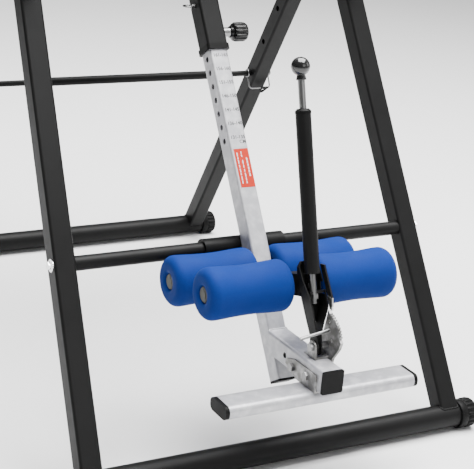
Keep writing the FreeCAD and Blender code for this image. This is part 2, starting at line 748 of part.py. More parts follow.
def bolt_bores():
    return [bar(4.0, -30, 30, y, z) for y, z in bolt_points]


def clamp_bolt(y, z):
    """A bolt right through the foot end, its head on the left and its nut on the right."""
    face = SADDLE_IN + float(PLATE)
    head = hex_prism(13.0, 5.0, along(Vector(-face, y, z), AXIS_X * -1))
    nut = hex_prism(13.0, 6.0, along(Vector(face, y, z), AXIS_X))
    return fuse(head, nut, bar(4.0, -face, face + 8, y, z))


foot_start = Vector(0, -440.0, foot_centre_z)
foot_blank = square_tube(FOOT_SIDE, LEG_WALL, foot_start.y - FOOT_END,
                         at(foot_start, AXIS_X, FORWARD), LEG_ROUND)
boom_block = box(BOOM_SIDE, BOOM_SIDE, BOOM_LOW - BOOM_HIGH + 40, boom_frame(BOOM_HIGH))
behind_boom = box(80, 100, 500, boom_frame(650, -50 + float(BOOM_SIDE) / 2))
side_hole = bar(5.0, -30, 0, -525.0, foot_centre_z)
node("foot_tube", cut(foot_blank, boom_block, behind_boom, side_hole, *bolt_bores()))
foot_mouth = at(Vector(0, FOOT_END, foot_centre_z), AXIS_X, FORWARD)
node("boom_plugs", group(plug(BOOM_SIDE, BOOM_WALL, boom_frame(BOOM_LOW), 1),
                         plug(FOOT_SIDE, LEG_WALL, foot_mouth, 1)))

# ---- footrest: a saddle bolted under the foot tube, carrying a flat oval bar
BAR_Y = -601.2
bar_top = float(FOOT_BOTTOM) - 3.0


def side_plane(x, origin=Vector()):
    """A plane square to X at x, whose own X is +Y and whose own Y is +Z."""
    turn = FreeCAD.Rotation(Vector(0, 1, 0), Vector(0, 0, 1), AXIS_X, "XYZ")
    return FreeCAD.Placement(origin + Vector(x, 0, 0), turn)


def cheek_x(side):
    return SADDLE_IN if side > 0 else -SADDLE_IN - float(PLATE)


def saddle_cheek(side):
    """A cheek plate on the foot tube's side, with its rear lower corner cut away."""
    high = float(FOOT_BOTTOM) + 28.0
    points = [(-628, bar_top), (-570, bar_top), (-534, bar_top + 14), (-534, bar_top + 22)]
    return padded(points + [(-560, high), (-628, high)], PLATE, side_plane(cheek_x(side)))


floor_plate = box(SADDLE_IN * 2 + 1, 56, 2.95, at(Vector(0, -600, bar_top)))
node("footrest_saddle", cut(fuse(saddle_cheek(-1), saddle_cheek(1), floor_plate), *bolt_bores()))
bar_frame = at(Vector(-float(BAR_HALF), BAR_Y, bar_top - float(BAR_THICK) / 2), Vector(0, 1, 0), AXIS_X)


def oval_bar(width, thick, length, corner, start):
    return fillet(box(width, thick, length, shift(bar_frame, z=start)), corner, parallel_to(AXIS_X))


bar_hollow = oval_bar(BAR_WIDTH - 4, BAR_THICK - 4, BAR_HALF * 2 + 2, 8.0, -1)
node("footrest_bar", cut(oval_bar(BAR_WIDTH, BAR_THICK, BAR_HALF * 2, 10.0, 0), bar_hollow))
CAP = 7.0
bar_caps = [oval_bar(BAR_WIDTH - 0.4, BAR_THICK - 0.4, CAP, 9.8, start)
            for start in (-CAP, float(BAR_HALF) * 2)]
node("footrest_caps", group(*bar_caps))

# ---- clamp bracket on the foot tube: a short ear and a toothed sector round the lever's pivot
lever_tilt = math.radians(LEVER_TILT)
LEVER = Vector(0, LEVER_Y, LEVER_Z)
UP = Vector(0, math.sin(lever_tilt), math.cos(lever_tilt))
AHEAD = Vector(0, -math.cos(lever_tilt), math.sin(lever_tilt))
LEVER_PIN = 4.0
foot_top = float(FOOT_BOTTOM + FOOT_SIDE)


def on_lever(a, f=0.0, x=0.0):
    """A point a up the lever from its pivot, f ahead of its centreline, at x."""
    return LEVER + UP * float(a) + AHEAD * float(f) + Vector(x, 0, 0)


def lever_frame(a, f=0.0, x=0.0):
    """Z runs up the lever, X across it and Y behind it."""
    return at(on_lever(a, f, x), AXIS_X, UP)


def lever_bar(radius, x_from, x_to, a=0.0, f=0.0):
    """A cylinder across the lever, parallel to X."""
    centre = on_lever(a, f)
    return bar(radius, x_from, x_to, centre.y, centre.z)


def round_arc(radius, first, last, steps, centre=(0.0, 0.0)):
    """Points on an arc beside the lever's pivot. Angles run from +Z towards -Y."""
    turns = [math.radians(first + (last - first) * n / steps) for n in range(steps + 1)]
    return [(centre[0] - radius * math.sin(turn), centre[1] + radius * math.cos(turn)) for turn in turns]


def tooth_points(first, last, count):
    """Saw teeth on the sector's rim: a steep flank and a sloping back."""
    points = []
    step = (last - first) / count
    for n in range(count):
        start = first + step * n
        points += round_arc(float(SECTOR_RADIUS), start, start + step * 0.3, 1, SECTOR_CENTRE)
        points += round_arc(float(SECTOR_RADIUS) - 3.5, start + step * 0.9, start + step, 1,
                            SECTOR_CENTRE)[:1]
    return points


SECTOR_CENTRE = (8.0, 8.0)
SECTOR_THICK = 5.0
EAR_X = -8.5
FOOT_HALF = 5.2
floor_z = float(foot_top) + 0.05
sector = [(-16, -28), (22, -28), (22, -6), (14, 20), (6.8, 52.4), (5.7, 58.6)]
sector += tooth_points(9, 72, 10) + [(-39.3, 17.8), (-34.8, 4.5), (-19.1, -17.6)]
ear = [(-13, floor_z - LEVER.z), (13, floor_z - LEVER.z)] + round_arc(10.5, -80, 80, 10)
sector_holes = [bar(3.2, 10, 40, LEVER.y + y, LEVER.z + z) for y, z in ((0, 41), (-3.3, 27.1), (-11.7, 11.4))]
floor_width = SADDLE_IN + 0.5 - EAR_X
bracket_floor = box(floor_width, 32, PLATE, at(Vector(EAR_X + floor_width / 2, LEVER.y + 5, floor_z)))
bracket = fuse(padded(sector, SECTOR_THICK, side_plane(SADDLE_IN, LEVER)),
               padded(ear, PLATE, side_plane(EAR_X, LEVER)), bracket_floor)
node("clamp_bracket", cut(bracket, lever_bar(LEVER_PIN, -40, 40), *sector_holes))


def pivot_bolt():
    """The lever's pivot: head on the ear, a shoulder beside the lever and a nut on the sector."""
    head = hex_prism(13.0, 5.0, along(LEVER + AXIS_X * EAR_X, AXIS_X * -1))
    nut = hex_prism(13.0, 6.0, along(LEVER + AXIS_X * (SADDLE_IN + SECTOR_THICK), AXIS_X))
    shoulder = lever_bar(6.0, FOOT_HALF + 0.3, SADDLE_IN - 0.1)
    return fuse(head, nut, shoulder, lever_bar(LEVER_PIN, EAR_X, SADDLE_IN + SECTOR_THICK + 8))


node("foot_end_bolts", group(*[clamp_bolt(y, z) for y, z in bolt_points], pivot_bolt()))

# ---------------------------------------------------------------- ankle lever
AXLE_UP, AXLE_BACK = 100.0, -48.5
SIDE_WALL = 2.2
CHANNEL_TOP, TAPER_TO = 139.0, 20.0
TAPER_FROM_LEFT, TAPER_FROM_RIGHT = 110.0, 64.0


def channel_front(inset, low, high):
    """The lever's channel seen from the front: parallel at the top, drawn in towards its foot."""
    wide, narrow = float(CHANNEL_HALF) - inset, FOOT_HALF - inset
    right = [(narrow, low), (narrow, TAPER_TO), (wide, TAPER_FROM_RIGHT), (wide, high - 9), (wide - 6, high)]
    left = [(6 - wide, high), (-wide, high - 9), (-wide, TAPER_FROM_LEFT)]
    return right + left + [(-narrow, TAPER_TO), (-narrow, low)]


def common(first, second):
    result = doc.addObject("Part::Common", "common")
    result.Base, result.Tool = first, second
    return result


def channel_block(inset, low, high, f_from, f_to):
    """The channel's front outline raised forward from one depth to another."""
    plane = FreeCAD.Placement(on_lever(0, f_from), FreeCAD.Rotation(AXIS_X, UP, AHEAD, "XYZ"))
    return padded(channel_front(inset, low, high), f_to - f_from, plane)


channel_side = [(12, -10.5), (40, -13), (75, -15), (CHANNEL_TOP, -15), (CHANNEL_TOP, -9)]
channel_side += [(133, -9), (81, 11), (60, 14), (35, 11), (12, 10.5)]
channel_side += [(11.0 * math.cos(math.radians(turn)) - 4, 11.0 * math.sin(math.radians(turn)))
                 for turn in range(75, 286, 15)]
side_turn = FreeCAD.Rotation(UP, AHEAD, AXIS_X, "XYZ")
side_blank = padded(channel_side, 60, FreeCAD.Placement(on_lever(0, 0, -30), side_turn))
channel_blank = common(channel_block(0, -17, CHANNEL_TOP, -15, 20), side_blank)
pocket = channel_block(SIDE_WALL, -18, CHANNEL_TOP + 1, -15 + SIDE_WALL, 25)
pawl_slot = box(10, 13, 20, lever_frame(84, 0, 16))
SCREWS = ((98.0, 0.0), (88.0, 8.0))


def screw_bore(a, x):
    return rod(3.0, 30, along(on_lever(a, -5, x), AHEAD * -1))


# The cross pin lies in the front edges of the channel's foot, a little lower at its free end.
cross_start = on_lever(25.2, 10.7, SADDLE_IN - 0.9)
cross_run = Vector(-53.7, 0, -8.6)


def cross_rod(radius):
    return rod(radius, cross_run.Length, along(cross_start, cross_run))


node("lever_channel", cut(channel_blank, pocket, lever_bar(LEVER_PIN + CLEAR, -30, 30), cross_rod(2.8),
                          pawl_slot, *[screw_bore(a, x) for a, x in SCREWS]))


def lever_screw(a, x):
    """A domed screw through the channel's web into the roller block."""
    head = rod(4.5, 3.0, along(on_lever(a, -12.8, x), AHEAD))
    return fuse(head, rod(3.0, 20, along(on_lever(a, -12.0, x), AHEAD * -1)))


node("lever_fasteners", group(cross_rod(2.8), *[lever_screw(a, x) for a, x in SCREWS]))
block = box(32, 46, 36, lever_frame(AXLE_UP - 18, -15.05 - 23))
block_bores = [screw_bore(a, x) for a, x in SCREWS]
node("roller_block", cut(block, lever_bar(AXLE_RADIUS, -30, 30, AXLE_UP, AXLE_BACK), *block_bores))
TUBE_LOW, TUBE_HIGH = 119.0, 376.0
node("lever_tube", cut(rod(LEVER_RADIUS, TUBE_HIGH - TUBE_LOW, lever_frame(TUBE_LOW)),
                       rod(LEVER_RADIUS - 1.6, TUBE_HIGH - TUBE_LOW + 2, lever_frame(TUBE_LOW - 1))))
COLLAR = [(5.85, 0), (11.0, 0), (11.0, 14), (13.2, 14), (13.2, 18), (9.5, 22), (5.85, 22)]
node("lever_collar", revolved(COLLAR, lever_frame(TUBE_HIGH - 14)))

# ---- release rod down the lever, with its ball knob and the pawl over the teeth
KNOB_RADIUS, KNOB_UP, RELEASE_RADIUS = 15.5, 451.0, 5.75
rod_nut = hex_prism(15.0, 8.0, lever_frame(78))
node("release_rod", fuse(rod(RELEASE_RADIUS, KNOB_UP - 6 - 70, lever_frame(70)), rod_nut))
ball = doc.addObject("Part::Sphere", "ball")
ball.Radius = KNOB_RADIUS
ball.Placement = lever_frame(KNOB_UP)
neck = revolved([(0, 0), (8.5, 0), (8.5, 3), (7.0, 8), (7.0, 12), (0, 12)], lever_frame(KNOB_UP - 22))
node("release_knob", cut(fuse(ball, neck), rod(RELEASE_RADIUS, 30, lever_frame(KNOB_UP - 36))))
pawl_points = [(132, -8), (131, 5), (78, 23), (64, 22), (57, 20.5), (60.5, 14), (70, 11), (82, 10)]
pawl_plate = padded(pawl_points, PLATE, FreeCAD.Placement(on_lever(0, 0, SADDLE_IN + 0.2), side_turn))
arm = box(SADDLE_IN + 9, 9, 4, lever_frame(86.05, 0, (SADDLE_IN + 9) / 2 - 8))
arm_end = box(PLATE, 20, 4, lever_frame(86.05, 5, SADDLE_IN + 0.2 + PLATE / 2))
node("release_pawl", cut(fuse(pawl_plate, arm, arm_end), rod(RELEASE_RADIUS, 30, lever_frame(80))))

# ---------------------------------------------------------------- foam rollers
front_axle_at = on_lever(AXLE_UP, AXLE_BACK)
AXLE_END = float(ROLLER_END) - 2.5
CORE_END = float(ROLLER_END) - 5


def roller(side, inner, y, z):
    """A foam sleeve with well rounded ends."""
    x_from, x_to = sorted((side * float(inner), side * float(ROLLER_END)))
    blank = bar(ROLLER_RADIUS, x_from, x_to, y, z)
    sleeve = fillet(blank, 13.0, lambda edge: edge.Length > 200 and edge.isClosed())
    return cut(sleeve, bar(CORE_RADIUS + 0.05, x_from - 1, x_to + 1, y, z))


def roller_core(side, inner, y, z):
    x_from, x_to = sorted((side * (float(inner) + 0.5), side * CORE_END))
    return cut(bar(CORE_RADIUS, x_from, x_to, y, z), bar(AXLE_RADIUS + CLEAR, x_from - 1, x_to + 1, y, z))


def axle_washers(start, inner, y, z):
    """Washers beside the rollers and the clips that hold them on."""
    washers = []
    for _, side in SIDES:
        for x_from, x_to, radius in ((start, inner, 12.5), (CORE_END + 0.5, CORE_END + 2.0, 12.0)):
            low, high = sorted((side * x_from, side * x_to))
            washers.append(cut(bar(radius, low, high, y, z), bar(AXLE_RADIUS, low - 1, high + 1, y, z)))
    return washers


rows = (("front", FRONT_ROLLER_IN, front_axle_at, 16.05), ("rear", REAR_ROLLER_IN, axle_at, 17.55))
for row, inner, centre, start in rows:
    y, z = centre.y, centre.z
    axle = bar(AXLE_RADIUS, -AXLE_END, AXLE_END, y, z)
    node(f"{row}_axle", group(axle, *axle_washers(start, float(inner), y, z)))
    for word, side in SIDES:
        node(f"{row}_roller_{word}", roller(side, inner, y, z))
        node(f"{row}_roller_core_{word}", roller_core(side, inner, y, z))

# ---------------------------------------------------------------- check and export
doc.recompute()
for item in doc.Objects:
    if "Invalid" in item.State or "Error" in item.State:
        raise RuntimeError(f"{item.Label}: {item.State}")
os.makedirs("parts", exist_ok=True)
for name, item in nodes.items():
    if item.Shape.isNull() or not item.Shape.isValid():
        raise RuntimeError(f"{name}: bad shape")
    item.Shape.exportStep(f"parts/{name}.step")
print("exported", len(nodes))
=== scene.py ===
import json
import math
import bmesh
import bpy
from mathutils import Matrix, Vector, noise
from mathutils.bvhtree import BVHTree


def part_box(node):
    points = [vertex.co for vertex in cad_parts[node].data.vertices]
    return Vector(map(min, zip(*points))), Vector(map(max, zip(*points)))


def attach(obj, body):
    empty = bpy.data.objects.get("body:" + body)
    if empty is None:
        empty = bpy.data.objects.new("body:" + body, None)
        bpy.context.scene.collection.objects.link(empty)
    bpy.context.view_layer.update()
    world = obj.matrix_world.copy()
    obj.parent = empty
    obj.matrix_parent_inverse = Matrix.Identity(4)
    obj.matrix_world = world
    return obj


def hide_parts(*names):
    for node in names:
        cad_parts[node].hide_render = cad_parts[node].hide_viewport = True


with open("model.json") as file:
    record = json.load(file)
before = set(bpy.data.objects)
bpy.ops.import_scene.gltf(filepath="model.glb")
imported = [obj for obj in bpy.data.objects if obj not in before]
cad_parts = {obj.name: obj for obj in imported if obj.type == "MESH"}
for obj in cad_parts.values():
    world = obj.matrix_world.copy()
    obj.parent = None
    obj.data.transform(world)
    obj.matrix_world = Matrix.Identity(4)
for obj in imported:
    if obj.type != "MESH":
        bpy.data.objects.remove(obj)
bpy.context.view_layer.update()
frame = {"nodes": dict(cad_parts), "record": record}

MM = 0.001  # sizes are in millimetres unless they come from the frame, which is in metres
X = Vector((1, 0, 0))
Y = Vector((0, 1, 0))
Z = Vector((0, 0, 1))
SIDES = (("left", -1), ("right", 1))
ROWS = ("front", "rear")
JOINTS = {joint["name"]: joint for joint in frame["record"]["behaviour"]["joints"]}


def joint_point(name):
    return Vector(JOINTS[name]["pos_m"])


def middle(node):
    """The centre of a node's box."""
    low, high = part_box(node)
    return (Vector(low) + Vector(high)) / 2


def stand(origin, x_axis, z_axis):
    """A matrix whose X lies along x_axis and whose Z is as near z_axis as it can be."""
    x_axis = x_axis.normalized()
    y_axis = z_axis.cross(x_axis).normalized()
    z_axis = x_axis.cross(y_axis)
    turn = Matrix((x_axis, y_axis, z_axis)).transposed().to_4x4()
    return Matrix.Translation(origin) @ turn


# ---------------------------------------------------------------- reference lines from the frame
DOWN = Vector(JOINTS["boom_slide"]["axis"]).normalized()
FACE = DOWN.cross(X).normalized()
PIN_S = 308.2
PIN_CENTRE = middle("pull_pin_knob")
PIN_CENTRE.x = 0
BOOM_HALF = 17.5


def on_boom(s, n=0.0, x=0.0):
    """A point s mm down the boom's centreline, n mm out of it and at x mm. The pull pin is at PIN_S."""
    return PIN_CENTRE + DOWN * ((s - PIN_S) * MM) + FACE * (n * MM) + X * (x * MM)


LEVER = joint_point("ankle_lever_swing")
UP = Vector(JOINTS["release_pull"]["axis"]).normalized()


# ---------------------------------------------------------------- materials
def new_material(name):
    material = bpy.data.materials.new(name)
    material.use_nodes = True
    tree = material.node_tree
    shader = tree.nodes["Principled BSDF"]
    return material, tree, shader


def grey(value):
    return (value, value, value, 1)


def rgba(r, g, b):
    return (r, g, b, 1)


def put(tree, kind, **values):
    """A new node of one kind, with these input values and properties."""
    made = tree.nodes.new(kind)
    for key, value in values.items():
        if key in made.inputs:
            made.inputs[key].default_value = value
        else:
            setattr(made, key, value)
    return made


def placed(tree, texture):
    """Lays a texture in the piece's own coordinates."""
    place = put(tree, "ShaderNodeTexCoord")
    tree.links.new(place.outputs["Object"], texture.inputs["Vector"])
    return texture


def noise_of(tree, scale, detail, rough=0.5):
    texture = put(tree, "ShaderNodeTexNoise", Scale=scale, Detail=detail, Roughness=rough)
    return placed(tree, texture).outputs["Fac"]


def ramp(tree, source, stops):
    """Turns a value into a colour that runs through (position, colour) stops."""
    made = put(tree, "ShaderNodeValToRGB")
    elements = made.color_ramp.elements
    elements[0].position, elements[-1].position = stops[0][0], stops[-1][0]
    elements[0].color, elements[-1].color = stops[0][1], stops[-1][1]
    for position, colour in stops[1:-1]:
        elements.new(position).color = colour
    tree.links.new(source, made.inputs["Fac"])
    return made.outputs["Color"]


def bump(tree, shader, source, strength, distance, after=None):
    """Raises the surface by a texture, distance metres at most, on top of an earlier bump."""
    made = put(tree, "ShaderNodeBump", Strength=strength, Distance=distance)
    tree.links.new(source, made.inputs["Height"])
    if after is not None:
        tree.links.new(after, made.inputs["Normal"])
    tree.links.new(made.outputs["Normal"], shader.inputs["Normal"])
    return made.outputs["Normal"]


def rubbed_and_highlit_edges(tree, colour, edge_colour):
    """Mixes in a lighter colour in patches along sharp convex edges: partly where a coating rubs thin, partly
    a painted highlight standing in for the light that sharp edges catch.
    """
    geometry = put(tree, "ShaderNodeNewGeometry")
    edge = ramp(tree, geometry.outputs["Pointiness"], [(0.515, grey(0)), (0.56, grey(1))])
    patch = ramp(tree, noise_of(tree, 60, 3), [(0.45, grey(0)), (0.7, grey(0.5))])
    both = put(tree, "ShaderNodeMath", operation="MULTIPLY")
    tree.links.new(edge, both.inputs[0])
    tree.links.new(patch, both.inputs[1])
    mix = put(tree, "ShaderNodeMix", data_type="RGBA")
    tree.links.new(both.outputs[0], mix.inputs["Factor"])
    tree.links.new(colour, mix.inputs["A"])
    mix.inputs["B"].default_value = edge_colour
    return mix.outputs["Result"]


def coated(name, dark, light, rough, metallic=0.0, grain=900, grain_depth=0.00006, edge_rub_and_highlight=None, coat=0.0,
           specular=0.5):
    """Paint, plating, bare metal or plastic: slow colour change, fine grain and, given an edge colour,
    lighter sharp edges that are rubbed patches and a painted edge highlight.
    """
    material, tree, shader = new_material(name)
    colour = ramp(tree, noise_of(tree, 7, 4), [(0.35, dark), (0.65, light)])
    # Painted highlight: sharp edges get a lighter colour, in patches that also read as rubbed wear.
    if edge_rub_and_highlight:
        colour = rubbed_and_highlit_edges(tree, colour, edge_rub_and_highlight)
    tree.links.new(colour, shader.inputs["Base Color"])
    shader.inputs["Metallic"].default_value = metallic
    shader.inputs["Coat Weight"].default_value = coat
    shader.inputs["Coat Roughness"].default_value = 0.15
    shader.inputs["Specular IOR Level"].default_value = specular
    roughness = ramp(tree, noise_of(tree, 45, 5, 0.6), [(0.3, grey(rough[0])), (0.7, grey(rough[1]))])
    tree.links.new(roughness, shader.inputs["Roughness"])
    bump(tree, shader, noise_of(tree, grain, 3, 0.6), 0.35, grain_depth)
    return material


def foam_material(name, dark, light, sheen_tint):
    """Closed-cell foam: matt skin, fine cells and a soft sheen at grazing angles."""
    material, tree, shader = new_material(name)
    colour = ramp(tree, noise_of(tree, 420, 5, 0.7), [(0.3, dark), (0.7, light)])
    tree.links.new(colour, shader.inputs["Base Color"])
    roughness = ramp(tree, noise_of(tree, 25, 3), [(0.3, grey(0.72)), (0.7, grey(0.86))])
    tree.links.new(roughness, shader.inputs["Roughness"])
    shader.inputs["Specular IOR Level"].default_value = 0.12
    shader.inputs["Sheen Weight"].default_value = 0.03
    shader.inputs["Sheen Roughness"].default_value = 0.45
    shader.inputs["Sheen Tint"].default_value = sheen_tint
    cells = placed(tree, put(tree, "ShaderNodeTexVoronoi", Scale=900))
    first = bump(tree, shader, cells.outputs["Distance"], 0.25, 0.0002)
    bump(tree, shader, noise_of(tree, 38, 3), 0.25, 0.0012, first)
    return material


def vinyl_material(name, dark, light, grain=420):
    """Upholstery vinyl: a pebbled grain over slow waves, and a satin finish."""
    material, tree, shader = new_material(name)
    colour = ramp(tree, noise_of(tree, 12, 4), [(0.35, dark), (0.65, light)])
    tree.links.new(colour, shader.inputs["Base Color"])
    roughness = ramp(tree, noise_of(tree, 30, 4), [(0.3, grey(0.42)), (0.7, grey(0.6))])
    tree.links.new(roughness, shader.inputs["Roughness"])
    cells = placed(tree, put(tree, "ShaderNodeTexVoronoi", Scale=grain, feature="DISTANCE_TO_EDGE"))
    pebble = ramp(tree, cells.outputs["Distance"], [(0.0, grey(0)), (0.16, grey(1))])
    first = bump(tree, shader, pebble, 0.4, 0.0003)
    bump(tree, shader, noise_of(tree, 14, 4), 0.3, 0.002, first)
    return material


def pawl_material(name, dark, bright):
    """Black paint with a bare bright tip, which is the lowest third of the plate's own box."""
    material, tree, shader = new_material(name)
    place = put(tree, "ShaderNodeTexCoord")
    axes = put(tree, "ShaderNodeSeparateXYZ")
    tree.links.new(place.outputs["Generated"], axes.inputs["Vector"])
    bare = ramp(tree, axes.outputs["Z"], [(0.3, grey(1)), (0.32, grey(0))])
    mix = put(tree, "ShaderNodeMix", data_type="RGBA")
    mix.inputs["A"].default_value = dark
    mix.inputs["B"].default_value = bright
    tree.links.new(bare, mix.inputs["Factor"])
    tree.links.new(mix.outputs["Result"], shader.inputs["Base Color"])
    tree.links.new(bare, shader.inputs["Metallic"])
    shader.inputs["Roughness"].default_value = 0.3
    shader.inputs["Specular IOR Level"].default_value = 0.2
    bump(tree, shader, noise_of(tree, 900, 3, 0.6), 0.35, 0.00004)
    return material


BLACK_PAINT = coated("black_powder_coat", grey(0.005), grey(0.0065), (0.42, 0.48), grain=1400,
                     grain_depth=0.00003, specular=0.1)
# Silver paint and zinc get a painted edge highlight, grey(0.6) in patches along sharp edges, which also reads
# as rubbed wear.
SILVER_PAINT = coated("silver_paint", rgba(0.34, 0.34, 0.36), rgba(0.38, 0.38, 0.395), (0.36, 0.46),
                      metallic=0.4, grain=2200, grain_depth=0.00003, edge_rub_and_highlight=grey(0.6))
ZINC = coated("zinc_plate", rgba(0.13, 0.128, 0.123), rgba(0.18, 0.178, 0.172), (0.3, 0.46), metallic=0.6,
              grain=700, grain_depth=0.00005, edge_rub_and_highlight=grey(0.6))
CHROME = coated("bright_chrome", grey(0.74), grey(0.82), (0.08, 0.16), metallic=1.0, grain=300,
                grain_depth=0.00001)
STEEL = coated("axle_steel", grey(0.2), grey(0.28), (0.28, 0.4), metallic=1.0, grain=900, grain_depth=0.00003)
DULL_STEEL = coated("dull_steel", rgba(0.018, 0.017, 0.011), rgba(0.028, 0.027, 0.02), (0.45, 0.55),
                    metallic=0.3, grain=900, grain_depth=0.00003)
PLASTIC = coated("black_plastic", grey(0.004), grey(0.006), (0.4, 0.5), grain=1800, specular=0.07)
GLOSS = coated("gloss_black_knob", grey(0.006), grey(0.009), (0.1, 0.18), grain=200,
               grain_depth=0.00001, coat=0.4)
RIBBED = coated("knob_plastic", grey(0.003), grey(0.004), (0.22, 0.28), grain=200, grain_depth=0.00001,
                specular=0.3)
CORE = coated("core_plastic", rgba(0.012, 0.014, 0.01), rgba(0.02, 0.022, 0.016), (0.5, 0.65),
              grain=1500)
BOARD = coated("board_paint", rgba(0.025, 0.022, 0.02), rgba(0.04, 0.036, 0.032), (0.6, 0.75), grain=350,
               grain_depth=0.0002)
BLUE_FOAM = foam_material("blue_foam", rgba(0.0006, 0.016, 0.12), rgba(0.0008, 0.02, 0.145),
                          rgba(0.3, 0.55, 1.0))
BLACK_FOAM = foam_material("black_foam", grey(0.012), grey(0.025), grey(0.7))
VINYL = vinyl_material("black_vinyl", grey(0.012), grey(0.022))
PIPING = vinyl_material("grey_piping", grey(0.05), grey(0.08), 800)
THREAD = foam_material("stitch_thread", grey(0.12), grey(0.2), grey(0.8))
INK = coated("scale_ink", grey(0.01), grey(0.015), (0.5, 0.6), grain=2500, grain_depth=0.00001)
LABEL_ORANGE = coated("label_orange", rgba(0.36, 0.014, 0.004), rgba(0.4, 0.018, 0.005), (0.4, 0.5),
                      grain=2500, grain_depth=0.00001, specular=0.2)
LABEL_WHITE = coated("label_white", grey(0.5), grey(0.56), (0.4, 0.5), grain=2500, grain_depth=0.00001)

PAINT_OF_SLOT = {
    "black_paint": BLACK_PAINT, "silver_paint": SILVER_PAINT, "zinc": ZINC, "chrome": CHROME,
    "axle_steel": STEEL, "black_plastic": PLASTIC, "sleeve_plastic": PLASTIC, "core_plastic": CORE,
    "blue_foam": BLUE_FOAM, "black_foam": BLACK_FOAM, "vinyl": VINYL, "board": BOARD,
}
PAINT_OF_NODE = {
    "release_pawl": pawl_material("pawl_plate", grey(0.008), grey(0.6)),
    "release_rod": STEEL, "limiter_clip": STEEL, "safety_pin": STEEL, "pull_pin_boss": STEEL,
    "foot_end_bolts": STEEL, "lever_fasteners": STEEL,
    "front_axle": DULL_STEEL, "rear_axle": DULL_STEEL,
}
for part in frame["record"]["subparts"]:
    body = frame["nodes"][part["node"]]
    body.data.materials.clear()
    body.data.materials.append(PAINT_OF_NODE.get(part["node"], PAINT_OF_SLOT[part["material_slot"]]))


# ---------------------------------------------------------------- making pieces
def finish_piece(name, mesh, material, body, replaces=(), smooth=True, levels=0):
    """Puts a mesh in the scene and says what it rides on and the nodes that it replaces."""
    piece = bpy.data.objects.new(name, mesh)
    bpy.context.scene.collection.objects.link(piece)
    mesh.materials.clear()
    mesh.materials.append(material)
    if smooth:
        for face in mesh.polygons:
            face.use_smooth = True
    if levels:
        subdivision = piece.modifiers.new("soften", "SUBSURF")
        subdivision.levels = subdivision.render_levels = levels
    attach(piece, body)
    if replaces:
        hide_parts(*replaces)
    return piece


def to_mesh(name, build):
    """A mesh from a function that fills a bmesh."""
    shape = bmesh.new()
    build(shape)
    bmesh.ops.recalc_face_normals(shape, faces=shape.faces)
    mesh = bpy.data.meshes.new(name)
    shape.to_mesh(mesh)
    shape.free()
    return mesh


def bridge(shape, low, high):
    """Faces between two rings that have the same number of points."""
    count = len(low)
    for n in range(count):
        m = (n + 1) % count
        shape.faces.new((low[n], low[m], high[m], high[n]))


def add_lathe(shape, profile, place, steps=48, radius_at=None):
    """Turns a closed profile of (radius, height) points, in mm, about the place's Z axis.

    radius_at gives the real radius for a radius, a height and a turn, where ribs or lobes need it.
    """
    rings = []
    for radius, height in profile:
        ring = []
        for n in range(steps):
            turn = 2 * math.pi * n / steps
            r = (radius_at(radius, height, turn) if radius_at else radius) * MM
            point = Vector((r * math.cos(turn), r * math.sin(turn), height * MM))
            ring.append(shape.verts.new(place @ point))
        rings.append(ring)
    for low, high in zip(rings, rings[1:] + rings[:1]):
        bridge(shape, low, high)


def arc(centre, radius, start, end, steps):
    """(radius, height) points on an arc in a lathe's profile, angles in degrees."""
    turns = [math.radians(start + (end - start) * n / steps) for n in range(steps + 1)]
    return [(centre[0] + radius * math.cos(t), centre[1] + radius * math.sin(t)) for t in turns]


RIPPLE_TURN = 1.7


def add_tube(shape, points, radius, steps=8, closed=True, ripple=0.0):
    """A tube through points, in metres, whose thickness may ripple as a weld bead does."""
    rings = []
    count = len(points)
    for n, point in enumerate(points):
        before = points[n - 1] if closed or n else point
        after = points[(n + 1) % count] if closed or n < count - 1 else point
        run = (after - before).normalized()
        side = run.cross(Z if abs(run.z) < 0.9 else X).normalized()
        up = side.cross(run)
        r = radius * (1 + ripple * math.sin(n * RIPPLE_TURN))
        ring = []
        for k in range(steps):
            turn = 2 * math.pi * k / steps
            ring.append(shape.verts.new(point + side * (r * math.cos(turn)) + up * (r * math.sin(turn))))
        rings.append(ring)
    for n in range(count if closed else count - 1):
        bridge(shape, rings[n], rings[(n + 1) % count])
    if not closed:
        shape.faces.new(rings[0])
        shape.faces.new(rings[-1])


def add_block(shape, place, size, bevel=0.0):
    """A block centred on the place, size in mm, with its edges rounded by bevel mm."""
    made = bmesh.ops.create_cube(shape, size=1.0)["verts"]
    for vertex in made:
        vertex.co = place @ Vector([vertex.co[n] * size[n] * MM for n in range(3)])
    if bevel:
        edges = list({edge for vertex in made for edge in vertex.link_edges})
        bmesh.ops.bevel(shape, geom=edges, offset=bevel * MM, segments=2, profile=0.5, affect="EDGES")


def rounded_rectangle(half_x, half_y, corner, steps=5):
    """(x, y) points round a rectangle with rounded corners."""
    points = []
    for quarter, (sx, sy) in enumerate(((1, 1), (-1, 1), (-1, -1), (1, -1))):
        for n in range(steps + 1):
            turn = math.radians(90 * quarter + 90 * n / steps)
            points.append((sx * (half_x - corner) + corner * math.cos(turn),
                           sy * (half_y - corner) + corner * math.sin(turn)))
    return points


def spaced(points, gap):
    """Points an even gap apart along a closed line."""
    made = []
    left = 0.0
    for start, end in zip(points, points[1:] + points[:1]):
        run = end - start
        while left < run.length:
            made.append(start + run.normalized() * left)
            left += gap
        left -= run.length
    return made


# ---------------------------------------------------------------- foam rollers
ROLLER_RADIUS, ROLLER_BORE, ROLLER_WAIST = 43.6, 13.7, 2.6
ROUND_IN, ROUND_OUT = 13, 15
SKIN_FROM, SKIN_WAVE, SKIN_SINK = 0.02, 0.0004, 0.0003


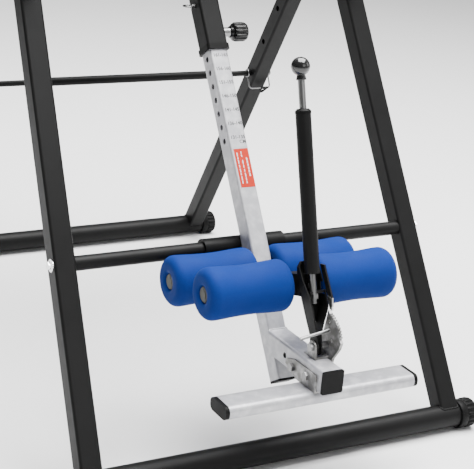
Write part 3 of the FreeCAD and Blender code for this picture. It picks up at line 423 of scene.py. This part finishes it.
def roller_profile(length):
    """A roller's profile from its inner end at height 0 to its outer end, with a slight waist."""
    lip = ROLLER_BORE + 1.2
    points = [(ROLLER_BORE, length - 2), (ROLLER_BORE, 2), (lip, 0.4)]
    points += arc((ROLLER_RADIUS - ROUND_IN, ROUND_IN), ROUND_IN, -90, 0, 7)
    for n in range(1, 10):
        share = n / 10
        height = ROUND_IN + (length - ROUND_IN - ROUND_OUT) * share
        points.append((ROLLER_RADIUS - ROLLER_WAIST * math.sin(math.pi * share) ** 1.4, height))
    points += arc((ROLLER_RADIUS - ROUND_OUT, length - ROUND_OUT), ROUND_OUT, 0, 90, 8)
    return points + [(lip, length - 0.4)]


def foam_roller(row, side_name, side):
    """One roller. Its skin, which is what lies over SKIN_FROM metres out, waves a little."""
    node = f"{row}_roller_{side_name}"
    low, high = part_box(node)
    centre = joint_point(f"{node}_spin")
    length = (high[0] - low[0]) / MM
    inner = low[0] if side > 0 else high[0]
    place = stand(Vector((inner, centre.y, centre.z)), UP, X * side)

    def build(shape):
        add_lathe(shape, roller_profile(length), place, 56)
        seed = Vector((side * 3.1, 7 if row == "front" else 2, 0))
        for vertex in shape.verts:
            out = Vector((0, vertex.co.y - centre.y, vertex.co.z - centre.z))
            if out.length > SKIN_FROM:
                wave = noise.noise(vertex.co * 24 + seed)
                vertex.co += out.normalized() * (wave * SKIN_WAVE - SKIN_SINK)

    piece = finish_piece(f"{node}_foam", to_mesh(node, build), BLUE_FOAM, node, (node,),
                         levels=1)


for row_name in ROWS:
    for side_name, side in SIDES:
        foam_roller(row_name, side_name, side)

# ---------------------------------------------------------------- weld beads
BASE_TUBE_R = 22.0
LEG_HALF = 19.0
LEG_LEAN = 0.0426
LEG_FOOT_X = {"front": 0.354, "rear": 0.396}
BEAD_STEP = 0.0016


def leg_line(side, row):
    """Foot point and unit direction of a leg's centreline, in metres."""
    base = middle(f"{row}_base_tube")
    hinge = joint_point("rear_frame_fold")
    spread = LEG_FOOT_X[row]
    foot = Vector((side * spread, base.y, base.z))
    top = Vector((side * (spread - LEG_LEAN * (hinge.z - base.z)), hinge.y, hinge.z))
    return foot, (top - foot).normalized()


def leg_across(side, row):
    """The direction out of a leg's outer face."""
    direction = leg_line(side, row)[1]
    flat = Vector((side, 0, 0))
    return (flat - direction * flat.dot(direction)).normalized()


def leg_weld(side, row):
    """The bead where a leg stands on its round base tube."""
    foot, direction = leg_line(side, row)
    across = leg_across(side, row)
    deep = across.cross(direction).normalized()
    points = []
    for x, y in rounded_rectangle(LEG_HALF, LEG_HALF, 5.0, 4):
        start = foot + across * (x * MM) + deep * (y * MM)
        flat = Vector((0, start.y - foot.y, start.z - foot.z))
        run = Vector((0, direction.y, direction.z))
        a, b, c = run.dot(run), 2 * flat.dot(run), flat.dot(flat) - (BASE_TUBE_R * MM) ** 2
        reach = (-b + math.sqrt(b * b - 4 * a * c)) / (2 * a)
        points.append(start + direction * reach)
    return spaced(points, BEAD_STEP)


def foot_weld():
    """The bead where the foot tube meets the boom: its outline, slid along Y onto the boom's upper face."""
    low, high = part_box("foot_tube")
    tube_z = (low[2] + high[2]) / 2
    half = (high[2] - low[2]) / 2 / MM
    start_y = -0.6
    points = []
    for x, z in rounded_rectangle(half, half, 5.0):
        x = max(-BOOM_HALF, min(BOOM_HALF, x))
        start = Vector((x * MM, start_y, tube_z + z * MM))
        gap = (start - on_boom(0, BOOM_HALF)).dot(FACE)
        points.append(start + Y * (-gap / FACE.y))
    return spaced(points, BEAD_STEP)


def weld_piece(name, loops, material, body, radius=1.9):
    def build(shape):
        for loop in loops:
            add_tube(shape, loop, radius * MM, ripple=0.16)

    finish_piece(name, to_mesh(name, build), material, body)


for row_name in ROWS:
    beads = [leg_weld(side, row_name) for _, side in SIDES]
    weld_piece(f"{row_name}_frame_welds", beads, BLACK_PAINT, f"{row_name}_frame")
weld_piece("foot_tube_weld", [foot_weld()], SILVER_PAINT, "boom", 1.6)


# ---------------------------------------------------------------- foot caps with ribbed crowns
CAP_LENGTH, NUB_LENGTH = 37.0, 12.0
CAP_BORE = 22.1
RIBS, RIB_DEPTH = 18, 1.1


def ribbed(radius, height, turn):
    """Cuts ribs into the crown, which is the widest part between the groove and the rounded end."""
    if 16 < height < 33 and radius > 24:
        return radius + RIB_DEPTH * max(-1.0, min(1.0, 1.6 * math.cos(RIBS * turn))) - RIB_DEPTH
    return radius


def add_foot_cap(shape, side, row):
    """A collar over the tube's end, a groove, a ribbed crown, a dished end and, in front, a nub."""
    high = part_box(f"{row}_base_caps")[1]
    base = middle(f"{row}_base_tube")
    nub = NUB_LENGTH if row == "front" else 0
    start_x = high[0] - nub * MM - CAP_LENGTH * MM
    place = stand(Vector((side * start_x, base.y, base.z)), Y, X * side)
    profile = [(CAP_BORE, 0), (25.6, 0), (26.4, 1), (26.8, 3), (26.8, 12), (26.2, 13.4), (25.2, 14),
               (25.2, 15), (27.2, 16.2), (27.4, 18), (27.4, 29), (26.6, 32), (25.0, 34.5), (22.0, 36.2),
               (17.0, CAP_LENGTH), (15.5, 35.8), (9.0, 35.8), (7.5, CAP_LENGTH)]
    if nub:
        tip = CAP_LENGTH + nub
        profile += [(5.2, 37.2), (5.0, 38.5), (5.0, tip - 1.2), (4.0, tip - 0.2), (0.5, tip - 0.1)]
    else:
        profile.append((0.5, CAP_LENGTH - 0.1))
    profile += [(0.5, 29), (CAP_BORE, 29)]
    add_lathe(shape, profile, place, 144, ribbed)
    for vertex in shape.verts:
        vertex.co.z = max(vertex.co.z, 0.0)


def base_caps(row):
    node = f"{row}_base_caps"

    def build(shape):
        for _, side in SIDES:
            add_foot_cap(shape, side, row)

    finish_piece(f"{node}_ribbed", to_mesh(node, build), PLASTIC, f"{row}_frame", (node,))


for row_name in ROWS:
    base_caps(row_name)

# ---------------------------------------------------------------- knobs
LOBES = 12


def lobed(radius, height, turn):
    """Cuts lobes into a knob's grip, which is wider than its collar and its face."""
    if radius > 15.5:
        return radius + 1.5 * max(-1.0, min(0.6, 1.4 * math.cos(LOBES * turn))) - 0.9
    return radius


def pull_knob(shape):
    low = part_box("pull_pin_knob")[0]
    place = stand(Vector((low[0], PIN_CENTRE.y, PIN_CENTRE.z)), UP, X)
    profile = [(4.1, 0), (9.5, 0), (10.5, 1.0), (10.5, 5.0), (12.5, 6.0), (15.2, 7.2), (16.8, 9.2),
               (17.4, 12.0), (17.4, 26), (16.9, 29.5), (15.3, 32), (12.5, 33.4), (8.0, 34.4), (7.0, 33.8),
               (0.5, 33.8), (0.5, 31.2), (4.1, 31.2)]
    add_lathe(shape, profile, place, 144, lobed)


finish_piece("pull_pin_lobed_knob", to_mesh("pull_knob", pull_knob), RIBBED, "pull_pin",
             ("pull_pin_knob",))


def ball_knob(shape):
    """A ball on a short neck. The profile's heights are distances up the lever from its pivot."""
    neck = [(5.8, 429.2), (8.2, 429.2), (8.5, 429.8), (8.5, 431.6), (7.3, 434.6), (6.9, 437.2)]
    ball = arc((0.3, 451), 15.2, -63, 88, 22)
    socket = [(0.3, 466.2), (0.3, 446), (5.8, 446)]
    add_lathe(shape, neck + ball + socket, stand(LEVER, X, UP))


finish_piece("release_ball_knob", to_mesh("ball_knob", ball_knob), GLOSS, "release",
             ("release_knob",), levels=1)


# ---------------------------------------------------------------- printed scale and label on the boom
HOLE_S, HOLE_GAP = 359.0, 25.4
MARKS, MARK_STEP, MARK_TOP = 7, 5, 165
DIGIT_SIZE = 8.8
TEXT_X = 15.6


def printed_text(name, words, s):
    """Raised ink on the boom's upper face, set from TEXT_X leftwards, read with the bed's head end up."""
    curve = bpy.data.curves.new(name, "FONT")
    curve.body = words
    curve.size = DIGIT_SIZE * MM
    curve.extrude = 0.00006
    curve.offset = 0.00016
    curve.align_x, curve.align_y = "RIGHT", "CENTER"
    curve.resolution_u = 3
    curve.materials.append(INK)
    piece = bpy.data.objects.new(name, curve)
    bpy.context.scene.collection.objects.link(piece)
    piece.matrix_world = stand(on_boom(s, BOOM_HALF + 0.04, TEXT_X), X, FACE)
    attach(piece, "boom")


for n in range(MARKS):
    high_mark = MARK_TOP - MARK_STEP * n
    words = f"{high_mark - MARK_STEP + 1}-{high_mark}"
    printed_text(f"scale_mark_{n + 1}", words, HOLE_S + HOLE_GAP * n - 1.5)
printed_text("scale_unit", "CM", HOLE_S + HOLE_GAP * (MARKS - 1) + 7)

LABEL_FROM, LABEL_TO, LABEL_HALF, LABEL_X = 531.0, 601.0, 14.2, 1.5


def label_card(shape):
    centre = on_boom((LABEL_FROM + LABEL_TO) / 2, BOOM_HALF + 0.1, LABEL_X)
    add_block(shape, stand(centre, X, FACE), (LABEL_HALF * 2, LABEL_TO - LABEL_FROM, 0.16), 0.06)


finish_piece("boom_label", to_mesh("boom_label", label_card), LABEL_ORANGE, "boom",
             smooth=False)
# Columns of plain bars in place of the writing: x, width, start down the boom, and each bar's run from there.
LABEL_COLUMNS = (
    (9.4, 2.6, 548, ((0, 4), (5, 9.5), (10.5, 15), (16.5, 21), (22, 27), (28, 33.5))),
    (0.6, 1.9, 536, ((0, 5), (6, 10), (16, 23), (24, 30), (32, 37), (39, 46), (47, 53), (54, 58))),
    (-7.6, 1.9, 538, ((0, 7), (8, 12), (13, 20), (22, 27), (29, 36), (37, 41), (43, 50), (51, 56))),
)


def label_bars(shape):
    for x, width, start, runs in LABEL_COLUMNS:
        for low, high in runs:
            centre = on_boom(start + (low + high) / 2, BOOM_HALF + 0.2, x)
            add_block(shape, stand(centre, X, FACE), (width, high - low, 0.08))


finish_piece("boom_label_bars", to_mesh("label_bars", label_bars), LABEL_WHITE, "boom",
             smooth=False)

# ---------------------------------------------------------------- padded bed
PAD_S, PAD_N = (-648.0, 163.0), 70.0
PAD_SIZE = (203.0, (PAD_S[1] - PAD_S[0]) / 2, 38.0)
PAD_CORNER = 58.0
PILLOW_S, PILLOW_N = -550.0, 108.3
PILLOW_SIZE = (125.0, 60.0, 42.0)
PILLOW_CORNER = 25
CHANNELS_Y = (-250.0, -90.0, 70.0, 230.0)
INSET = 42.0
PUFF_FRAMES, PUFF_LIMIT = 20, 9
HELD_BELOW = 0.002
STITCH_LENGTH, STITCH_GAP, THREAD_RADIUS = 0.0042, 0.0062, 0.00045
STITCHES_INSET = 38.0


def evaluated_mesh(piece):
    graph = bpy.context.evaluated_depsgraph_get()
    return bpy.data.meshes.new_from_object(piece.evaluated_get(graph))


def slab_mesh(name, half_x, half_y, thick, corner):
    """A slab with rounded corners, standing on height 0."""
    def build(shape):
        outline = rounded_rectangle(half_x, half_y, corner, 8)
        low, high = [[shape.verts.new((x * MM, y * MM, height * MM)) for x, y in outline]
                     for height in (0.0, thick)]
        bridge(shape, low, high)
        shape.faces.new(low)
        shape.faces.new(high)

    return to_mesh(name, build)


def inflate(piece, voxel, pressure, cap):
    """Remeshes a closed piece and lets cloth pressure puff it, no point moving more than cap metres.

    The points of its underside, less than HELD_BELOW metres up, stay where they are.
    """
    remesh = piece.modifiers.new("remesh", "REMESH")
    remesh.mode = "VOXEL"
    remesh.voxel_size = voxel
    piece.data = evaluated_mesh(piece)
    piece.modifiers.clear()
    held = piece.vertex_groups.new(name="held")
    before = [vertex.co.copy() for vertex in piece.data.vertices]
    held.add([n for n, point in enumerate(before) if point.z < HELD_BELOW], 1.0, "REPLACE")
    cloth = piece.modifiers.new("cloth", "CLOTH")
    cloth.settings.quality = 5
    cloth.settings.mass = 0.3
    cloth.settings.tension_stiffness = cloth.settings.compression_stiffness = 12
    cloth.settings.shear_stiffness = 6
    cloth.settings.bending_stiffness = 0.6
    cloth.settings.use_pressure = True
    cloth.settings.uniform_pressure_force = pressure
    cloth.settings.effector_weights.gravity = 0
    cloth.settings.vertex_group_mass = "held"
    cloth.collision_settings.use_collision = False
    cloth.point_cache.frame_start, cloth.point_cache.frame_end = 1, PUFF_FRAMES
    for number in range(1, PUFF_FRAMES + 1):
        bpy.context.scene.frame_set(number)
    after = evaluated_mesh(piece)
    piece.modifiers.clear()
    for vertex, start, moved in zip(piece.data.vertices, before, after.vertices):
        step = moved.co - start
        if step.length > cap:
            step *= cap / step.length
        vertex.co = start + step
    piece.vertex_groups.clear()
    bpy.context.scene.frame_set(1)


def press_seams(mesh, seams, depth, width):
    """Sinks sewn lines into the upper face. Each seam gives a distance in metres from a point."""
    for vertex in mesh.vertices:
        up = max(0.0, vertex.normal.z)
        sink = sum(math.exp(-(seam(vertex.co) / width) ** 2) for seam in seams)
        vertex.co.z -= depth * min(sink, 1.0) * up


def smooth_mesh(mesh, times):
    shape = bmesh.new()
    shape.from_mesh(mesh)
    for _ in range(times):
        bmesh.ops.smooth_vert(shape, verts=shape.verts, factor=0.5, use_axis_x=True, use_axis_y=True,
                              use_axis_z=True)
    shape.to_mesh(mesh)
    shape.free()


def border_distance():
    """Gives the distance in metres from the seam that runs INSET mm inside the pad's edge."""
    hx, hy, r = PAD_SIZE[0] - INSET, PAD_SIZE[1] - INSET, PAD_CORNER - INSET

    def distance(point):
        dx = abs(point.x) / MM - (hx - r)
        dy = abs(point.y) / MM - (hy - r)
        outside = math.hypot(max(dx, 0), max(dy, 0))
        return abs(outside + min(max(dx, dy), 0) - r) * MM

    return distance


def channel_distance(y):
    """Gives the distance in metres from a seam across the pad at y, which ends at the border seam."""
    def distance(point):
        beyond = max(0.0, abs(point.x) / MM - (PAD_SIZE[0] - INSET))
        return (abs(point.y / MM - y) + beyond * 4) * MM

    return distance


def stitch_row(shape, tree, line):
    """Short threads lying on the pad's face along a closed line of close points in metres."""
    for start in spaced(line, STITCH_GAP):
        ahead = min(line, key=lambda p: abs((p - start).length - STITCH_LENGTH))
        run = (ahead - start).normalized() * STITCH_LENGTH
        ends = []
        for point in (start, start + run * 0.5, start + run):
            hit = tree.ray_cast(Vector((point.x, point.y, 0.2)), Z * -1)
            if hit[0] is None:
                break
            ends.append(hit[0] + Vector((0, 0, 0.0001)))
        if len(ends) == 3:
            add_tube(shape, ends, THREAD_RADIUS, 5, closed=False)


def padded_piece(name, node, size, corner, place, shrink, puff, seams=(), seam_depth=0.0, seam_width=0.01):
    """Puffs and sews one pad in flat coordinates, lays it on the bed and gives a tree of the flat pad.

    size is half the width, half the length and the thickness. The slab starts shrink mm smaller, and puff
    is inflate's voxel size, pressure and cap.
    """
    half_x, half_y, thick = size
    mesh = slab_mesh(name, half_x - shrink, half_y - shrink, thick - shrink, corner)
    slab = bpy.data.objects.new(name, mesh)
    bpy.context.scene.collection.objects.link(slab)
    inflate(slab, *puff)
    mesh = slab.data
    bpy.data.objects.remove(slab)
    smooth_mesh(mesh, 3)
    press_seams(mesh, seams, seam_depth, seam_width)
    smooth_mesh(mesh, 1)
    for vertex in mesh.vertices:
        wave = noise.noise(vertex.co * 18) * 0.0009 + noise.noise(vertex.co * 55) * 0.0003
        if vertex.co.z > 0.006:
            vertex.co.z += wave
        vertex.co.z = max(vertex.co.z, 0.0002)
        vertex.co.z = min(vertex.co.z, (thick + PUFF_LIMIT) * MM)
    points = [vertex.co.copy() for vertex in mesh.vertices]
    tree = BVHTree.FromPolygons(points, [list(face.vertices) for face in mesh.polygons])
    mesh.transform(place)
    mesh.update()
    piece = finish_piece(name, mesh, VINYL, "bed", (node,), levels=1)
    return tree


def sewn_details(name, build, material, place):
    """A piece built in a pad's flat coordinates and laid on the bed with it."""
    def local(shape):
        build(shape)
        bmesh.ops.transform(shape, matrix=place, verts=shape.verts)

    finish_piece(name, to_mesh(name, local), material, "bed")


def sew_piping(name, tree, outline, height, radius, place):
    """A cord, radius metres thick, round a pad's edge at height mm, touching its swollen side."""
    def build(shape):
        points = []
        for start in spaced([Vector((x * MM, y * MM, height * MM)) for x, y in outline], 0.006):
            inward = Vector((-start.x, -start.y, 0)).normalized()
            hit = tree.ray_cast(start - inward * 0.08, inward)
            if hit[0] is not None:
                points.append(hit[0] - inward * (radius * 0.4))
        add_tube(shape, points, radius)

    sewn_details(name, build, PIPING, place)


pad_place = stand(on_boom(sum(PAD_S) / 2, PAD_N + 0.3), X, FACE)
pad_seams = [border_distance()] + [channel_distance(y) for y in CHANNELS_Y]
pad_tree = padded_piece("backrest_cushion", "backrest_pad", PAD_SIZE, PAD_CORNER, pad_place, 3.0,
                        (0.0065, 3.2, 0.008), pad_seams, 0.007, 0.0075)


def pad_stitches(shape):
    """A row of stitches just outside the border seam."""
    outline = rounded_rectangle(PAD_SIZE[0] - STITCHES_INSET, PAD_SIZE[1] - STITCHES_INSET,
                                PAD_CORNER - INSET, 8)
    close = spaced([Vector((x, y, 0)) for x, y in outline], 2.0)
    stitch_row(shape, pad_tree, [Vector((point.x * MM, point.y * MM, 0)) for point in close])


sewn_details("backrest_stitches", pad_stitches, THREAD, pad_place)
pad_outline = rounded_rectangle(PAD_SIZE[0], PAD_SIZE[1], PAD_CORNER, 10)
sew_piping("backrest_piping", pad_tree, pad_outline, 19, 0.0026, pad_place)

pillow_place = stand(on_boom(PILLOW_S, PILLOW_N + 0.3), X, FACE)
pillow_tree = padded_piece("head_cushion", "head_pillow", PILLOW_SIZE, PILLOW_CORNER, pillow_place, 9.0,
                           (0.005, 4.0, 0.012))
pillow_outline = rounded_rectangle(PILLOW_SIZE[0], PILLOW_SIZE[1], PILLOW_CORNER, 8)
sew_piping("pillow_piping", pillow_tree, pillow_outline, 17, 0.002, pillow_place)

# ---------------------------------------------------------------- hand grips
HANDLE_LOW, HANDLE_HIGH, HANDLE_OUT = 840, 1010, 150
GRIP_INSET = 42
GRIP_BORE, GRIP_ROUND = 12.6, 4.0


def hand_grips(shape):
    """A grooved foam sleeve on each handle's straight, GRIP_INSET mm short of its ends."""
    length = HANDLE_HIGH - HANDLE_LOW - 2 * GRIP_INSET
    profile = [(GRIP_BORE, 2.0), (14.5, 0.4)] + arc((GRIP_BORE, GRIP_ROUND), GRIP_ROUND, -60, 0, 4)
    for n in range(1, 12):
        profile.append((16.8 if n % 2 else 16.1, GRIP_ROUND + (length - 2 * GRIP_ROUND) * n / 12))
    profile += arc((GRIP_BORE, length - GRIP_ROUND), GRIP_ROUND, 0, 60, 4)
    profile += [(14.5, length - 0.4), (GRIP_BORE, length - 2.0)]
    for _, side in SIDES:
        foot, direction = leg_line(side, "front")
        ahead = direction.cross(X).normalized()
        ahead = ahead if ahead.y < 0 else -ahead
        start = foot + direction * (HANDLE_LOW + GRIP_INSET) * MM + ahead * HANDLE_OUT * MM
        add_lathe(shape, profile, stand(start, leg_across(side, "front"), direction), 32)


finish_piece("hand_grip_sleeves", to_mesh("hand_grips", hand_grips), BLACK_FOAM, "front_frame",
             ("handlebar_grips",), levels=1)

# ---------------------------------------------------------------- stage, light and camera
LENS = 102.84
EYE = Vector((-1.13203, -2.26403, 1.12283))
YAW, PITCH, ROLL = math.radians(29.98), math.radians(18.92), math.radians(4.45)


def pale_floor():
    bpy.ops.mesh.primitive_plane_add(size=60, location=(0, 0, 0))
    floor = bpy.context.object
    floor.name = "floor"
    material, _, shader = new_material("floor_white")
    shader.inputs["Base Color"].default_value = grey(0.72)
    shader.inputs["Roughness"].default_value = 0.9
    floor.data.materials.append(material)


def studio_world():
    """A sky that brightens from the left to the right of the object."""
    world = bpy.data.worlds.new("studio")
    bpy.context.scene.world = world
    world.use_nodes = True
    tree = world.node_tree
    sky = tree.nodes["Background"]
    place = put(tree, "ShaderNodeTexCoord")
    axes = put(tree, "ShaderNodeSeparateXYZ")
    tree.links.new(place.outputs["Generated"], axes.inputs["Vector"])
    across = put(tree, "ShaderNodeMapRange")
    across.inputs["From Min"].default_value = -1.0
    tree.links.new(axes.outputs["X"], across.inputs["Value"])
    tone = ramp(tree, across.outputs["Result"], [(0.2, grey(0.2)), (0.55, grey(0.45)), (0.9, grey(1))])
    tree.links.new(tone, sky.inputs["Color"])
    sky.inputs["Strength"].default_value = 0.5


def soft_light(name, place, target, width, height, power):
    """A rectangular lamp at a place, aimed at a target, in metres and watts."""
    lamp = bpy.data.lights.new(name, "AREA")
    lamp.shape = "RECTANGLE"
    lamp.size, lamp.size_y, lamp.energy = width, height, power
    holder = bpy.data.objects.new(name, lamp)
    holder.location = place
    holder.rotation_euler = (Vector(target) - Vector(place)).to_track_quat("-Z", "Y").to_euler()
    bpy.context.scene.collection.objects.link(holder)


def main_camera():
    """The camera at EYE, turned right by YAW, down by PITCH and over by ROLL."""
    lens = bpy.data.cameras.new("camera")
    lens.sensor_width = 36
    lens.lens = LENS
    camera = bpy.data.objects.new("camera", lens)
    bpy.context.scene.collection.objects.link(camera)
    bpy.context.scene.camera = camera
    look = Vector((math.sin(YAW) * math.cos(PITCH), math.cos(YAW) * math.cos(PITCH), -math.sin(PITCH)))
    level = Vector((math.cos(YAW), -math.sin(YAW), 0))
    above = level.cross(look)
    right = level * math.cos(ROLL) + above * math.sin(ROLL)
    camera.matrix_world = stand(EYE, right, look * -1)


pale_floor()
studio_world()
soft_light("top_light", (0.5, -0.2, 4.2), (0, 0.1, 0.3), 4.0, 4.0, 1100)
soft_light("front_light", (1.0, -4.4, 2.2), (0, 0, 0.5), 2.4, 1.8, 35)
soft_light("side_light", (3.4, -1.6, 1.8), (0, -0.2, 0.5), 1.4, 1.8, 20)
main_camera()
